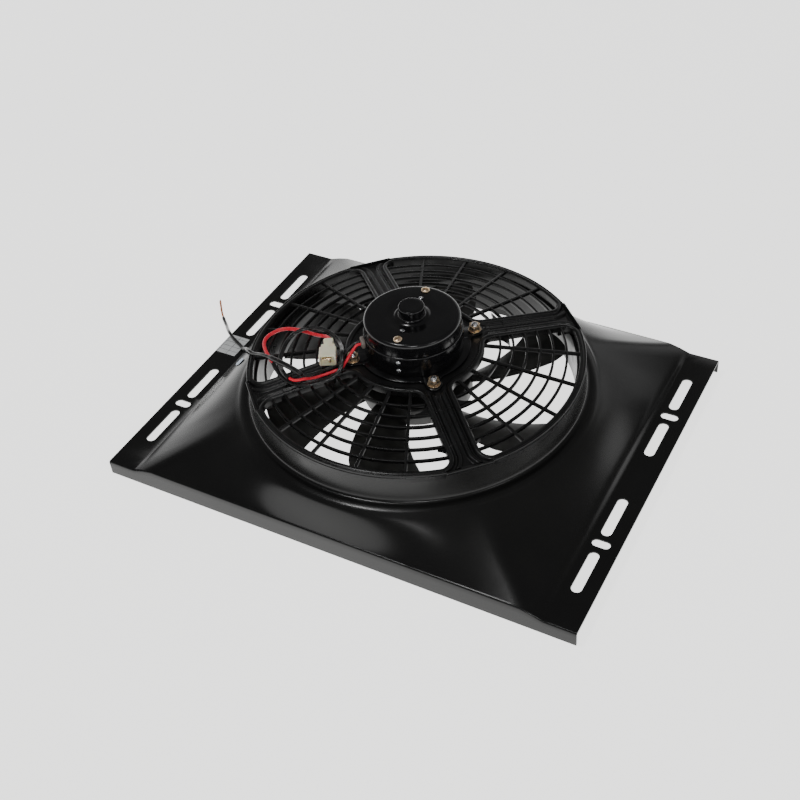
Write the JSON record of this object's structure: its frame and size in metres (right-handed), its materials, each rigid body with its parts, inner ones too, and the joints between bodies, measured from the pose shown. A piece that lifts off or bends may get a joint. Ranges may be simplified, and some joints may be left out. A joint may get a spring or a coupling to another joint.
{
  "type": "oil cooler fan cowl assembly",
  "caption": "Pressed steel cooler cowl with a flanged edge, raised round collar, ribbed guard, swept axial impeller, flat brushed motor and a short wiring tail.",
  "frame": {"origin": "on the fan axis at the level of the cowl's lower edges", "axes": "+Z along the fan axis towards the motor, +X along the cowl's long side, -Y towards the front edge"},
  "size_m": [0.5609, 0.387, 0.1505],
  "materials": {
    "black_paint": "satin black enamel on pressed steel",
    "gloss_paint": "gloss black enamel",
    "black_moulding": "semi-gloss black glass-filled nylon",
    "blade_plastic": "matte black nylon",
    "yellow_zinc": "yellow passivated zinc plate",
    "bright_steel": "bright steel",
    "lamination_steel": "stacked steel laminations",
    "copper": "bare and enamelled copper",
    "ferrite": "dull grey ceramic magnet",
    "carbon": "dull carbon brush",
    "phenolic": "brown phenolic sheet",
    "red_insulation": "red PVC insulation",
    "black_insulation": "black PVC insulation",
    "ivory_nylon": "ivory nylon",
    "grey_rubber": "grey rubber",
    "label_film": "silver film, no lettering",
    "dot_ink": "pale blue marking ink"
  },
  "bodies": {
    "housing": {"cowl": "black_paint", "fan_guard": "black_moulding", "duct_ring": "black_moulding", "guard_screw_1": "bright_steel", "guard_screw_2": "bright_steel", "guard_screw_3": "bright_steel", "guard_screw_4": "bright_steel", "motor_mount": "gloss_paint", "motor_can": "gloss_paint", "motor_cap": "gloss_paint", "mount_stud_1": "bright_steel", "mount_washer_1": "yellow_zinc", "mount_nut_1": "yellow_zinc", "mount_stud_2": "bright_steel", "mount_washer_2": "yellow_zinc", "mount_nut_2": "yellow_zinc", "mount_stud_3": "bright_steel", "mount_washer_3": "yellow_zinc", "mount_nut_3": "yellow_zinc", "mount_stud_4": "bright_steel", "mount_washer_4": "yellow_zinc", "mount_nut_4": "yellow_zinc", "cap_screw_1": "yellow_zinc", "cap_screw_2": "yellow_zinc", "cap_rivet_1": "bright_steel", "cap_rivet_2": "bright_steel", "can_rivet_1": "bright_steel", "can_rivet_2": "bright_steel", "magnet_front": "ferrite", "magnet_rear": "ferrite", "rear_bearing": "bright_steel", "front_bearing": "bright_steel", "brush_card": "phenolic", "brush_left": "carbon", "brush_spring_left": "bright_steel", "brush_right": "carbon", "brush_spring_right": "bright_steel", "grommet": "grey_rubber", "red_lead": "red_insulation", "black_lead": "black_insulation", "sheathed_loop": "black_insulation", "red_pigtail": "red_insulation", "splice_sleeve": "black_insulation", "black_tail": "black_insulation", "bare_tip": "copper", "connector": "ivory_nylon", "connector_terminals": "yellow_zinc", "label": "label_film", "inspection_dot": "dot_ink"},
    "rotor": {"impeller": "blade_plastic", "shaft": "bright_steel", "hub_clip": "bright_steel", "armature_core": "lamination_steel", "winding_lower": "copper", "winding_upper": "copper", "commutator": "copper"}
  },
  "joints": [
    {"name": "fan_spin", "type": "hinge", "parent": "housing", "child": "rotor", "pos_m": [0, 0, 0.0545], "axis": [0, 0, 1], "continuous": true}
  ]
}
